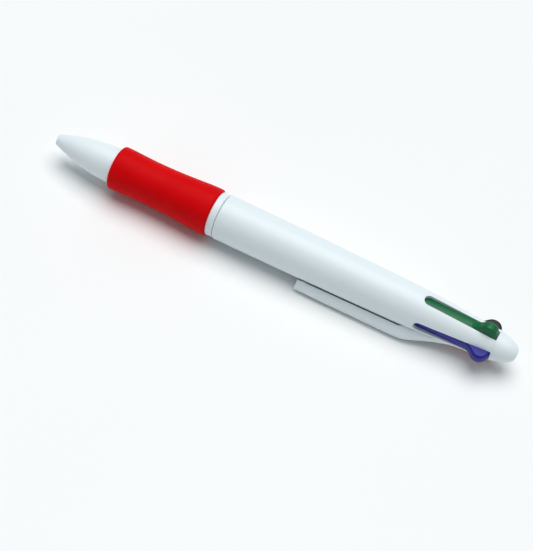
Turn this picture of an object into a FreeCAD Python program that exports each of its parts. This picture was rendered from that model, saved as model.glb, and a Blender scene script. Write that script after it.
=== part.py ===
import FreeCAD, Part
import os

# A pen with four sliding refills, in millimetres.
# Each piece is drawn with the pen's axis along +X from the nose tip at x = 0.
# It is then placed with the middle of the pen's length over the origin and its lowest point at z = 0.

V = FreeCAD.Vector
ORIGIN = V(0, 0, 0)
X_AXIS = V(1, 0, 0)

# whole pen
LENGTH = 145.0
AXIS_HEIGHT = 7.68

# front barrel: nose, sleeve under the grip, collar and spigot
NOSE_PROFILE = [(0.0, 1.65), (3.6, 2.85), (7.6, 4.0), (12.9, 4.9), (17.7, 5.25), (19.1, 5.3)]
FUNNEL_PROFILE = [(0.0, 1.25), (1.0, 1.32), (6.5, 2.2), (12.5, 3.3), (17.0, 3.9), (24.0, 4.2)]
GRIP_START = 19.1
GRIP_END = 51.0
SLEEVE_R = 5.2
SLEEVE_BORE_R = 4.2
COLLAR_END = 53.1
COLLAR_R = 6.55
COLLAR_CHAMFER = 0.2
SPIGOT_END = 61.0
SPIGOT_R = 5.4
THREAD_START = 55.0
THREAD_PITCH = 1.4
THREAD_COUNT = 4
THREAD_DEPTH = 0.35
THREAD_WIDTH = 0.7

# grip
GRIP_OUTLINE = [(22.0, 6.46), (26.5, 6.3), (31.5, 6.24), (38.0, 6.42), (44.0, 6.78), (48.6, 7.05)]
GRIP_FRONT_R = 6.48
GRIP_FRONT_ROUND = 1.0
GRIP_REAR_ROUND = 0.8

# upper barrel
BARREL_OUTLINE = [
    (53.6, 6.7), (66.0, 6.68), (80.0, 6.58), (100.0, 6.3), (112.0, 6.1),
    (116.0, 5.95), (125.0, 5.4), (138.4, 4.45),
]
BARREL_START = 53.25
BARREL_EDGE_CHAMFER = 0.35
BARREL_FRONT_BORE_R = 5.45
BARREL_REAR_BORE = [(76.0, 5.2), (104.0, 5.15), (116.0, 4.88), (125.0, 4.25), (138.4, 3.3)]

# slots and sliders
SLOT_START = 115.8
SLOT_WIDTH = 3.2
SLIDER_WIDTH = 3.0
SLIDER_TOP_R = 4.7
SLIDER_BOTTOM_R = 1.75
SLIDER_START = 106.0
SLIDER_END = 138.2
KNOB_OUTLINE = [
    (128.4, 4.35), (131.2, 4.85), (132.7, 5.6), (133.7, 6.6), (134.5, 7.12), (135.5, 7.3),
    (136.5, 7.1), (137.4, 6.5), (138.0, 5.5), (138.2, 4.3), (138.2, 3.0),
]
KNOB_MIN_RISE = 3.5
KNOB_ROUND = 0.9
FLANGE_R = 1.5
FLANGE_START = 104.0
STUB_START = 99.0
STUB_R = 0.55
COLOURS = [("green", 0), ("blue", 90), ("red", 180), ("black", 270)]

# refills
REFILL_OFFSET = 2.4
TUBE_R = 1.1
TUBE_BORE_R = 0.65
TUBE_FRONT_R = 0.7
TUBE_START = 19.5
TUBE_TAPER_END = 21.5
TUBE_END = 103.6
TIP_FRONT = 12.6
TIP_LIP_R = 0.3
TIP_R = 0.42
TIP_CONE_END = 14.2
TIP_END = 22.5
INK_CHANNEL_R = 0.15
INK_END = 82.0
BALL_R = 0.25
BALL_X = 12.75

# springs and their seat
SEAT_START = 74.0
SEAT_END = 76.0
SEAT_HOLE_R = 1.4
SPRING_R = 1.35
WIRE_R = 0.15
SPRING_TURNS = 13
SPRING_END_GAP = 0.1

# centre post
CORE_WIDTH = 2.6
CORE_START = 107.0
CORE_END = 140.0

# end cap
CAP_START = 138.4
CAP_OUTLINE = [(138.4, 4.45), (141.4, 3.75), (143.3, 3.0), (144.6, 1.9), (145.0, 0.0)]
CAP_PEG_START = 136.6
CAP_PEG_OUTER_R = 3.2
CAP_PEG_INNER_R = 2.62
CAP_PEG_GAP = 3.6

# pocket clip
CLIP_ANGLE = 135
CLIP_WIDTH = 3.8
CLIP_MIN_CROWN_R = 8.0
CLIP_OUTLINE = [
    (80.5, 9.8), (84.0, 9.87), (92.0, 9.9), (104.0, 9.9), (110.0, 9.88),
    (114.0, 9.6), (118.1, 8.2), (121.8, 6.8), (125.2, 5.8), (129.0, 5.0),
]
CLIP_NUB = [
    (80.5, 6.64), (81.1, 6.8), (81.7, 6.78), (82.4, 6.64), (83.3, 6.7), (84.4, 6.74),
]
CLIP_FOOT_CORNER = [(111.0, 6.36), (112.2, 6.2), (112.8, 5.8)]
CLIP_END_ROUND = 0.9
CLIP_TOP_R = 9.95
CLIP_EDGE_ROUND = 1.6
CLIP_SINK = 0.5
SMALL = 0.01


def at(x, r):
    """A point on the profile plane, x along the pen and r out from its axis."""
    return V(x, 0, r)


def polyline(points):
    """Straight edges through the points."""
    return [Part.LineSegment(a, b).toShape() for a, b in zip(points, points[1:])]


def smooth(points, last_direction=None):
    """One smooth edge through the points, which may end in a stated direction."""
    curve = Part.BSplineCurve()
    if last_direction is None:
        curve.interpolate(points)
    else:
        first_direction = points[1] - points[0]
        curve.interpolate(
            Points=points, InitialTangent=first_direction, FinalTangent=last_direction
        )
    return curve.toShape()


def revolved(edges):
    """The solid that a closed outline makes when it turns around the pen's axis."""
    wire = Part.Wire(Part.__sortEdges__(edges))
    return Part.Face(wire).revolve(ORIGIN, X_AXIS, 360)


def ring(start, end, outer_r, inner_r):
    """A tube around the pen's axis."""
    outer = rod(start, end, outer_r)
    return outer.cut(rod(start, end, inner_r))


def rod(start, end, radius, offset=0.0):
    """A cylinder along the pen, its centre line the given distance above the axis."""
    return Part.makeCylinder(radius, end - start, at(start, offset), X_AXIS)


def bar(start, end, width, bottom_r, top_r):
    """A straight block along the pen, centred on the profile plane."""
    return Part.makeBox(end - start, width, top_r - bottom_r, V(start, -width / 2, bottom_r))


def turned(shape, degrees):
    """The shape turned around the pen's axis."""
    copy = shape.copy()
    copy.rotate(ORIGIN, X_AXIS, degrees)
    return copy


def front_barrel():
    nose_line = [at(x, r) for x, r in NOSE_PROFILE]
    funnel_line = [at(x, r) for x, r in FUNNEL_PROFILE]
    back = [
        nose_line[-1],
        at(GRIP_START, SLEEVE_R),
        at(GRIP_END, SLEEVE_R),
        at(GRIP_END, COLLAR_R - COLLAR_CHAMFER),
        at(GRIP_END + COLLAR_CHAMFER, COLLAR_R),
        at(COLLAR_END - COLLAR_CHAMFER, COLLAR_R),
        at(COLLAR_END, COLLAR_R - COLLAR_CHAMFER),
        at(COLLAR_END, SPIGOT_R),
        at(SPIGOT_END, SPIGOT_R),
        at(SPIGOT_END, SLEEVE_BORE_R),
        funnel_line[-1],
    ]
    front = polyline([funnel_line[0], nose_line[0]])
    body = revolved([smooth(nose_line)] + polyline(back) + [smooth(funnel_line)] + front)
    for n in range(THREAD_COUNT):
        start = THREAD_START + n * THREAD_PITCH
        groove = ring(start, start + THREAD_WIDTH, SPIGOT_R + 1, SPIGOT_R - THREAD_DEPTH)
        body = body.cut(groove)
    return body


def grip():
    middle = [at(x, r) for x, r in GRIP_OUTLINE]
    front_corner = Part.Arc(
        at(GRIP_START, GRIP_FRONT_R - GRIP_FRONT_ROUND),
        at(GRIP_START + 0.26 * GRIP_FRONT_ROUND, GRIP_FRONT_R - 0.26 * GRIP_FRONT_ROUND),
        at(GRIP_START + GRIP_FRONT_ROUND, GRIP_FRONT_R),
    ).toShape()
    rear_r = GRIP_OUTLINE[-1][1]
    rear_corner = Part.Arc(
        at(GRIP_END - GRIP_REAR_ROUND, rear_r - 0.01),
        at(GRIP_END - 0.29 * GRIP_REAR_ROUND, rear_r - 0.29 * GRIP_REAR_ROUND),
        at(GRIP_END, rear_r - GRIP_REAR_ROUND),
    ).toShape()
    top = smooth([at(GRIP_START + GRIP_FRONT_ROUND, GRIP_FRONT_R)] + middle
                 + [at(GRIP_END - GRIP_REAR_ROUND, rear_r - 0.01)])
    ends = polyline([
        at(GRIP_END, rear_r - GRIP_REAR_ROUND),
        at(GRIP_END, SLEEVE_R),
        at(GRIP_START, SLEEVE_R),
        at(GRIP_START, GRIP_FRONT_R - GRIP_FRONT_ROUND),
    ])
    return revolved([front_corner, top, rear_corner] + ends)


def clip_blank():
    """The clip with a deep foot, drawn above the axis."""
    outer = smooth([at(x, r) for x, r in CLIP_OUTLINE])
    nub = smooth([at(x, r) for x, r in CLIP_NUB])
    first_x, first_r = CLIP_OUTLINE[0]
    last_x, last_r = CLIP_OUTLINE[-1]
    fillet = smooth([at(x, r) for x, r in CLIP_FOOT_CORNER])
    rest = polyline([at(first_x, first_r), at(*CLIP_NUB[0])])
    rest += polyline([at(*CLIP_NUB[-1]), at(*CLIP_FOOT_CORNER[0])])
    rest += polyline([
        at(*CLIP_FOOT_CORNER[-1]), at(CLIP_FOOT_CORNER[-1][0], 0), at(last_x, 0), at(last_x, last_r),
    ])
    face = Part.Face(Part.Wire(Part.__sortEdges__([outer, nub, fillet] + rest)))
    face.translate(V(0, -CLIP_WIDTH / 2, 0))
    return face.extrude(V(0, CLIP_WIDTH, 0))


def is_crown(edge):
    """Whether an edge is one of the two long ones along the outside of the clip."""
    box = edge.BoundBox
    return box.XLength > CLIP_WIDTH and box.YLength < SMALL and box.ZMax > CLIP_MIN_CROWN_R


def clip_end_shape():
    """A long block whose end is rounded like the clip's free end, at both sides and outside."""
    start = CLIP_OUTLINE[0][0]
    block = bar(start, LENGTH, CLIP_WIDTH, 0, CLIP_TOP_R)
    corners = [
        edge for edge in block.Edges
        if edge.BoundBox.XMax < start + SMALL and edge.BoundBox.ZMax > CLIP_TOP_R - SMALL
    ]
    return block.makeFillet(CLIP_END_ROUND, corners)


def clip():
    blank = clip_blank()
    edges = [edge for edge in blank.Edges if is_crown(edge)]
    rounded = blank.makeFillet(CLIP_EDGE_ROUND, edges)
    return rounded.common(clip_end_shape()).cut(barrel_blank(CLIP_SINK))


def barrel_blank(inset):
    """The upper barrel's outer shape as a solid, shrunk by the inset."""
    outline = [at(x, r - inset) for x, r in BARREL_OUTLINE]
    ends = [outline[-1], at(outline[-1].x, 0), at(outline[0].x, 0), outline[0]]
    return revolved([smooth(outline)] + polyline(ends))


def end_cap():
    outline = [at(x, r) for x, r in CAP_OUTLINE]
    edges = [smooth(outline, V(0, 0, -1))]
    edges += polyline([outline[-1], at(CAP_START, 0), outline[0]])
    pegs = ring(CAP_PEG_START, CAP_START, CAP_PEG_OUTER_R, CAP_PEG_INNER_R)
    for _, angle in COLOURS:
        pegs = pegs.cut(turned(bar(CAP_PEG_START, CAP_START, CAP_PEG_GAP, 0, LENGTH), angle))
    return revolved(edges).fuse(pegs).cut(guide_core())


def guide_core():
    half = CORE_WIDTH / 2
    return bar(CORE_START, CORE_END, CORE_WIDTH, -half, half)


def upper_barrel():
    outline = [at(x, r) for x, r in BARREL_OUTLINE]
    front_bore_end = BARREL_REAR_BORE[0][0]
    inside = [at(x, r) for x, r in BARREL_REAR_BORE]
    start_r = outline[0].z - BARREL_EDGE_CHAMFER
    edges = [smooth(outline), smooth(inside)] + polyline([
        outline[0],
        at(BARREL_START, start_r),
        at(BARREL_START, BARREL_FRONT_BORE_R),
        at(front_bore_end, BARREL_FRONT_BORE_R),
        inside[0],
    ]) + polyline([inside[-1], outline[-1]])
    body = revolved(edges)
    for _, angle in COLOURS:
        body = body.cut(turned(slot_space(), angle))
    return body


def slot_space():
    """The space that one slot cuts from the barrel: round at the front and open at the rear."""
    half = SLOT_WIDTH / 2
    straight = bar(SLOT_START + half, LENGTH, SLOT_WIDTH, 0, LENGTH)
    nose = Part.makeCylinder(half, LENGTH, at(SLOT_START + half, 0))
    return straight.fuse(nose)


def slider():
    """One coloured slider, drawn above the axis: bar, knob, spring flange and refill stub."""
    track = rod(SLIDER_START, SLIDER_END, SLIDER_TOP_R)
    body = bar(SLIDER_START, SLIDER_END, SLIDER_WIDTH, SLIDER_BOTTOM_R, LENGTH).common(track)
    neck = rod(FLANGE_START, SLIDER_START, FLANGE_R, REFILL_OFFSET)
    stub = rod(STUB_START, FLANGE_START, STUB_R, REFILL_OFFSET)
    return body.fuse(knob()).fuse(neck).fuse(stub).removeSplitter()


def knob():
    top = smooth([at(x, r) for x, r in KNOB_OUTLINE])
    first_x, first_r = KNOB_OUTLINE[0]
    last_x, last_r = KNOB_OUTLINE[-1]
    base = polyline([at(last_x, last_r), at(first_x, last_r), at(first_x, first_r)])
    face = Part.Face(Part.Wire(Part.__sortEdges__([top] + base)))
    face.translate(V(0, -SLIDER_WIDTH / 2, 0))
    block = face.extrude(V(0, SLIDER_WIDTH, 0))
    edges = [edge for edge in block.Edges if edge.BoundBox.ZLength > KNOB_MIN_RISE]
    return block.makeFillet(KNOB_ROUND, edges)


def refill_tube():
    front = [
        at(TUBE_START, TIP_R), at(TUBE_START, TUBE_FRONT_R), at(TUBE_TAPER_END, TUBE_R),
        at(TUBE_END, TUBE_R), at(TUBE_END, TUBE_BORE_R), at(TIP_END, TUBE_BORE_R),
        at(TIP_END, TIP_R), at(TUBE_START, TIP_R),
    ]
    return raised(revolved(polyline(front)))


def ink():
    return rod(TIP_END, INK_END, TUBE_BORE_R, REFILL_OFFSET)


def writing_tip():
    outline = [
        at(TIP_FRONT, 0), at(TIP_FRONT, TIP_LIP_R), at(TIP_CONE_END, TIP_R), at(TIP_END, TIP_R),
        at(TIP_END, 0), at(TIP_FRONT, 0),
    ]
    body = revolved(polyline(outline))
    body = body.cut(Part.makeSphere(BALL_R, at(BALL_X, 0)))
    return raised(body.cut(rod(BALL_X, TIP_END, INK_CHANNEL_R)))


def ball():
    return raised(Part.makeSphere(BALL_R, at(BALL_X, 0)))


def raised(shape):
    """The shape moved from the pen's axis up to the refill's centre line."""
    copy = shape.copy()
    copy.translate(at(0, REFILL_OFFSET))
    return copy


def spring():
    """A coil from the spring seat to the slider's flange."""
    start = SEAT_END + WIRE_R + SPRING_END_GAP
    length = FLANGE_START - WIRE_R - SPRING_END_GAP - start
    helix = Part.makeHelix(length / SPRING_TURNS, length, SPRING_R)
    wire_end = Part.makeCircle(WIRE_R, V(SPRING_R, 0, 0), V(0, 1, 0))
    coil = Part.Wire(helix).makePipeShell([Part.Wire(wire_end)], True, True)
    coil.rotate(ORIGIN, V(0, 1, 0), 90)
    coil.translate(at(start, REFILL_OFFSET))
    return coil


def spring_seat():
    disc = rod(SEAT_START, SEAT_END, BARREL_FRONT_BORE_R)
    for _, angle in COLOURS:
        hole = rod(SEAT_START, SEAT_END, SEAT_HOLE_R, REFILL_OFFSET)
        disc = disc.cut(turned(hole, angle))
    return disc


def save(shape, name):
    """Writes one piece, moved from the drawing frame to the part's own frame."""
    placed = shape.copy()
    placed.translate(V(-LENGTH / 2, 0, AXIS_HEIGHT))
    placed.exportStep("parts/" + name + ".step")


def main():
    os.makedirs("parts", exist_ok=True)
    pocket_clip = turned(clip(), CLIP_ANGLE)
    save(upper_barrel().cut(pocket_clip), "upper_barrel")
    save(pocket_clip, "pocket_clip")
    save(end_cap(), "end_cap")
    save(guide_core(), "guide_core")
    save(spring_seat(), "spring_seat")
    save(front_barrel(), "front_barrel")
    save(grip(), "grip")
    sets = [
        ("slider", slider()),
        ("spring", spring()),
        ("refill_tube", refill_tube()),
        ("ink", ink()),
        ("writing_tip", writing_tip()),
        ("ball", ball()),
    ]
    for piece, shape in sets:
        for colour, angle in COLOURS:
            save(turned(shape, angle), piece + "_" + colour)


main()
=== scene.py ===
import math
import bpy
import bmesh
from mathutils import Matrix, Vector

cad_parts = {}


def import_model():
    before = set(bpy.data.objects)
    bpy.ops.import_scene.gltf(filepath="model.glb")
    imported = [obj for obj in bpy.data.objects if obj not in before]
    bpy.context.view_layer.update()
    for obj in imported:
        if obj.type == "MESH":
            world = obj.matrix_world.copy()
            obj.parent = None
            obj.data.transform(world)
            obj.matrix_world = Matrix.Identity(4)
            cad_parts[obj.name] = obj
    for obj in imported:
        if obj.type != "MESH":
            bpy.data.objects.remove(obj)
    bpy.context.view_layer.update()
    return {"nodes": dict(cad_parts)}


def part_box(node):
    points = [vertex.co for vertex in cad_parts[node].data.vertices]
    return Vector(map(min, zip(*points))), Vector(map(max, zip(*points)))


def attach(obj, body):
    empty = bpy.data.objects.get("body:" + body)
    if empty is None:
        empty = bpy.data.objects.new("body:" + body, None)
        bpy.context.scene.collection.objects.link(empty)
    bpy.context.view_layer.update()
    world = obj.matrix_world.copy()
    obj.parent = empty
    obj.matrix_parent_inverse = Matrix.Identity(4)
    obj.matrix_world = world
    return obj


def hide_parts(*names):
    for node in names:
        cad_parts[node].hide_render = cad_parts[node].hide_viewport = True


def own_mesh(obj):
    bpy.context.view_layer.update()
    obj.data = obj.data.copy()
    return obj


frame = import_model()
nodes = frame["nodes"]

COLOURS = ("green", "blue", "red", "black")

# the pen's own sizes, in metres
AXIS_HEIGHT = 0.00768
REFILL_OFFSET = 0.0024
SPRING_RADIUS = 0.00135
SPRING_WIRE = 0.00015
SPRING_TURNS = 13

# how finely the coils are made, and how much their end turns close up
STEPS_PER_TURN = 28
WIRE_SIDES = 8
CLOSED_SHARE = 0.25

# the part of a noise texture's range that the materials use
NOISE_LOW = 0.3
NOISE_HIGH = 0.7

# camera: angles in degrees, distances in metres
VIEW_AZIMUTH = 10.8
VIEW_ELEVATION = 54.0
VIEW_ROLL = 10.95
VIEW_DISTANCE = 0.5885
VIEW_LENS = 136.7
VIEW_ASIDE = -0.0028
VIEW_UP = -0.0093
SENSOR_WIDTH = 36.0

# light and floor
KEY_TOWARDS = (0.02, -0.22, -1.0)
KEY_STRENGTH = 2.5
KEY_SOFTNESS = 55.0
SKY_COLOUR = (0.84, 0.94, 1.0)
SKY_STRENGTH = 0.25
FLOOR_HALF = 3.0


# ---------------------------------------------------------------- materials

def new_material(name):
    """An empty node material and its shader."""
    material = bpy.data.materials.new(name)
    material.use_nodes = True
    tree = material.node_tree
    shader = tree.nodes["Principled BSDF"]
    return material, tree, shader


def noise(tree, scale, detail=3.0, roughness=0.5):
    """A noise texture in the piece's own coordinates."""
    place = tree.nodes.new("ShaderNodeTexCoord")
    texture = tree.nodes.new("ShaderNodeTexNoise")
    texture.inputs["Scale"].default_value = scale
    texture.inputs["Detail"].default_value = detail
    texture.inputs["Roughness"].default_value = roughness
    tree.links.new(place.outputs["Object"], texture.inputs["Vector"])
    return texture


def spread(tree, source, low, high):
    """The noise value mapped to the range low to high."""
    mapping = tree.nodes.new("ShaderNodeMapRange")
    mapping.inputs["From Min"].default_value = NOISE_LOW
    mapping.inputs["From Max"].default_value = NOISE_HIGH
    mapping.inputs["To Min"].default_value = low
    mapping.inputs["To Max"].default_value = high
    tree.links.new(source.outputs["Fac"], mapping.inputs["Value"])
    return mapping


def tint(tree, shader, source, first, second):
    """The base colour, drifting between two close colours."""
    ramp = tree.nodes.new("ShaderNodeValToRGB")
    ramp.color_ramp.elements[0].position = NOISE_LOW
    ramp.color_ramp.elements[0].color = (*first, 1.0)
    ramp.color_ramp.elements[1].position = NOISE_HIGH
    ramp.color_ramp.elements[1].color = (*second, 1.0)
    tree.links.new(source.outputs["Fac"], ramp.inputs["Fac"])
    tree.links.new(ramp.outputs["Color"], shader.inputs["Base Color"])


def bump(tree, shader, source, distance, strength):
    """Fine relief from a noise texture."""
    relief = tree.nodes.new("ShaderNodeBump")
    relief.inputs["Distance"].default_value = distance
    relief.inputs["Strength"].default_value = strength
    tree.links.new(source.outputs["Fac"], relief.inputs["Height"])
    tree.links.new(relief.outputs["Normal"], shader.inputs["Normal"])


def moulded(name, first, second, rough=(0.40, 0.48), coat=0.06, soft=0.0, shine=0.5):
    """Moulded plastic: slow drift of colour, finer drift of gloss, and a very fine skin."""
    material, tree, shader = new_material(name)
    tint(tree, shader, noise(tree, 60.0), first, second)
    gloss = spread(tree, noise(tree, 900.0, 4.0), rough[0], rough[1])
    tree.links.new(gloss.outputs["Result"], shader.inputs["Roughness"])
    bump(tree, shader, noise(tree, 2600.0, 2.0), 0.000004, 0.15)
    shader.inputs["Specular IOR Level"].default_value = shine
    shader.inputs["Coat Weight"].default_value = coat
    shader.inputs["Coat Roughness"].default_value = 0.2
    if soft:
        shader.inputs["Subsurface Weight"].default_value = soft
        shader.inputs["Subsurface Radius"].default_value = (0.0012, 0.0013, 0.0014)
        shader.inputs["Subsurface Scale"].default_value = 1.0
    return material


def rubber(name, first, second):
    """Satin rubber: matt, with a fine pebbled skin and a little sheen."""
    material, tree, shader = new_material(name)
    tint(tree, shader, noise(tree, 140.0, 4.0), first, second)
    gloss = spread(tree, noise(tree, 1500.0, 4.0), 0.46, 0.58)
    tree.links.new(gloss.outputs["Result"], shader.inputs["Roughness"])
    bump(tree, shader, noise(tree, 5200.0, 3.0), 0.00003, 0.35)
    shader.inputs["Specular IOR Level"].default_value = 0.05
    return material


def metal(name, first, second, rough):
    """Turned or drawn metal with fine scratches."""
    material, tree, shader = new_material(name)
    tint(tree, shader, noise(tree, 1800.0, 5.0), first, second)
    gloss = spread(tree, noise(tree, 6000.0, 4.0), rough * 0.8, rough * 1.3)
    tree.links.new(gloss.outputs["Result"], shader.inputs["Roughness"])
    bump(tree, shader, noise(tree, 9000.0, 2.0), 0.000005, 0.3)
    shader.inputs["Metallic"].default_value = 1.0
    return material


WHITE = moulded("white_plastic_look", (0.80, 0.885, 0.92), (0.825, 0.90, 0.925), soft=0.15)
INNER = moulded("inner_plastic_look", (0.74, 0.75, 0.74), (0.80, 0.81, 0.80), (0.45, 0.55), 0.0)
GRIP = rubber("grip_rubber_look", (0.64, 0.001, 0.003), (0.70, 0.002, 0.004))
SATIN = {"rough": (0.36, 0.46), "shine": 0.28}
SLIDERS = {
    "green": moulded("green_plastic_look", (0.002, 0.118, 0.040), (0.003, 0.142, 0.048), **SATIN),
    "blue": moulded("blue_plastic_look", (0.014, 0.013, 0.235), (0.018, 0.017, 0.275), **SATIN),
    "red": moulded("red_plastic_look", (0.60, 0.008, 0.008), (0.68, 0.012, 0.010), **SATIN),
    "black": moulded("black_plastic_look", (0.010, 0.010, 0.011), (0.016, 0.016, 0.018), **SATIN),
}
INKS = {
    "green": moulded("green_ink_look", (0.0, 0.10, 0.03), (0.0, 0.14, 0.05), (0.1, 0.16)),
    "blue": moulded("blue_ink_look", (0.01, 0.02, 0.20), (0.01, 0.03, 0.26), (0.1, 0.16)),
    "red": moulded("red_ink_look", (0.36, 0.004, 0.01), (0.42, 0.006, 0.012), (0.1, 0.16)),
    "black": moulded("black_ink_look", (0.004, 0.004, 0.005), (0.008, 0.008, 0.01), (0.1, 0.16)),
}
TUBE = moulded("tube_plastic_look", (0.78, 0.80, 0.80), (0.84, 0.86, 0.86), (0.3, 0.4), 0.0, 0.4)
STEEL = metal("spring_steel_look", (0.52, 0.52, 0.54), (0.64, 0.64, 0.66), 0.22)
BRASS = metal("tip_metal_look", (0.62, 0.48, 0.24), (0.72, 0.57, 0.30), 0.20)
CHROME = metal("ball_metal_look", (0.62, 0.62, 0.64), (0.70, 0.70, 0.72), 0.12)


def dress(node, material):
    """Gives a CAD node its look, in every material slot."""
    slots = nodes[node].material_slots
    if not slots:
        nodes[node].data.materials.append(material)
    for one in nodes[node].material_slots:
        one.link = "OBJECT"
        one.material = material


for name in ("upper_barrel", "pocket_clip", "end_cap", "front_barrel"):
    dress(name, WHITE)
for name in ("guide_core", "spring_seat"):
    dress(name, INNER)
dress("grip", GRIP)
for colour in COLOURS:
    dress("slider_" + colour, SLIDERS[colour])
    dress("refill_tube_" + colour, TUBE)
    dress("ink_" + colour, INKS[colour])
    dress("writing_tip_" + colour, BRASS)
    dress("ball_" + colour, CHROME)


# ---------------------------------------------------------------- springs

def coil_mesh(name, start, end, centre):
    """A round wire wound along X, with its end turns closer together than the rest."""
    total = SPRING_TURNS * STEPS_PER_TURN
    mesh = bmesh.new()
    rings = []
    for step in range(total + 1):
        turn = step / STEPS_PER_TURN
        share = step / total
        closed = 0.5 * (1 - math.cos(math.pi * share))
        x = start + (end - start) * ((1 - CLOSED_SHARE) * share + CLOSED_SHARE * closed)
        angle = 2 * math.pi * turn
        out = Vector((0.0, math.cos(angle), math.sin(angle)))
        ring = []
        for side in range(WIRE_SIDES):
            turned = 2 * math.pi * side / WIRE_SIDES
            offset = out * (SPRING_RADIUS + SPRING_WIRE * math.cos(turned))
            place = centre + Vector((x, 0.0, 0.0)) + offset
            place.x += SPRING_WIRE * math.sin(turned)
            ring.append(mesh.verts.new(place))
        rings.append(ring)
    for one, two in zip(rings, rings[1:]):
        for side in range(WIRE_SIDES):
            after = (side + 1) % WIRE_SIDES
            mesh.faces.new((one[side], one[after], two[after], two[side]))
    mesh.faces.new(rings[0][::-1])
    mesh.faces.new(rings[-1])
    bmesh.ops.recalc_face_normals(mesh, faces=mesh.faces)
    data = bpy.data.meshes.new(name)
    mesh.to_mesh(data)
    mesh.free()
    for polygon in data.polygons:
        polygon.use_smooth = True
    piece = bpy.data.objects.new(name, data)
    bpy.context.collection.objects.link(piece)
    piece.data.materials.append(STEEL)
    return piece


for colour in COLOURS:
    node = "spring_" + colour
    low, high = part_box(node)
    centre = Vector((0.0, (low.y + high.y) / 2, (low.z + high.z) / 2))
    coil = coil_mesh("coil_" + colour, low.x + SPRING_WIRE, high.x - SPRING_WIRE, centre)
    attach(coil, "barrel")
    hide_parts(node)
    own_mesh(coil)


# ---------------------------------------------------------------- stage, light and camera

def floor():
    """A plain pale floor, large enough to fill every view."""
    data = bpy.data.meshes.new("floor")
    half = FLOOR_HALF
    corners = [(-half, -half, 0), (half, -half, 0), (half, half, 0), (-half, half, 0)]
    data.from_pydata([Vector(c) for c in corners], [], [(0, 1, 2, 3)])
    plane = bpy.data.objects.new("floor", data)
    bpy.context.collection.objects.link(plane)
    material, tree, shader = new_material("floor_look")
    tint(tree, shader, noise(tree, 4.0), (0.93, 0.935, 0.93), (0.955, 0.955, 0.95))
    shader.inputs["Roughness"].default_value = 0.7
    shader.inputs["Specular IOR Level"].default_value = 0.2
    plane.data.materials.append(material)


def sun(name, towards, strength, softness):
    """An even light from one side; softness is the angle in degrees that it fills."""
    data = bpy.data.lights.new(name, "SUN")
    data.energy = strength
    data.angle = math.radians(softness)
    lamp = bpy.data.objects.new(name, data)
    lamp.rotation_euler = Vector(towards).to_track_quat("-Z", "Y").to_euler()
    bpy.context.collection.objects.link(lamp)


def camera():
    """The camera, from its angles around the pen, its roll and its distance."""
    azimuth, elevation, roll = (
        math.radians(a) for a in (VIEW_AZIMUTH, VIEW_ELEVATION, VIEW_ROLL)
    )
    back = Vector((
        math.sin(azimuth),
        -math.cos(azimuth) * math.cos(elevation),
        math.cos(azimuth) * math.sin(elevation),
    ))
    right = (-back).cross(Vector((0, 0, 1))).normalized()
    up = right.cross(-back)
    target = Vector((0, 0, AXIS_HEIGHT)) + VIEW_ASIDE * right + VIEW_UP * up
    rolled_right = math.cos(roll) * right + math.sin(roll) * up
    rolled_up = math.cos(roll) * up - math.sin(roll) * right
    turn = Matrix((rolled_right, rolled_up, back)).transposed()
    data = bpy.data.cameras.new("camera")
    data.lens = VIEW_LENS
    data.sensor_width = SENSOR_WIDTH
    data.clip_start = 0.01
    data.clip_end = 50.0
    view = bpy.data.objects.new("camera", data)
    view.matrix_world = Matrix.Translation(target + VIEW_DISTANCE * back) @ turn.to_4x4()
    bpy.context.collection.objects.link(view)
    bpy.context.scene.camera = view


def world():
    """Even soft light from all round."""
    sky = bpy.data.worlds.new("studio")
    sky.use_nodes = True
    background = sky.node_tree.nodes["Background"]
    background.inputs["Color"].default_value = (*SKY_COLOUR, 1.0)
    background.inputs["Strength"].default_value = SKY_STRENGTH
    bpy.context.scene.world = sky


floor()
world()
sun("key", KEY_TOWARDS, KEY_STRENGTH, KEY_SOFTNESS)
camera()
bpy.context.scene.view_settings.view_transform = "Standard"
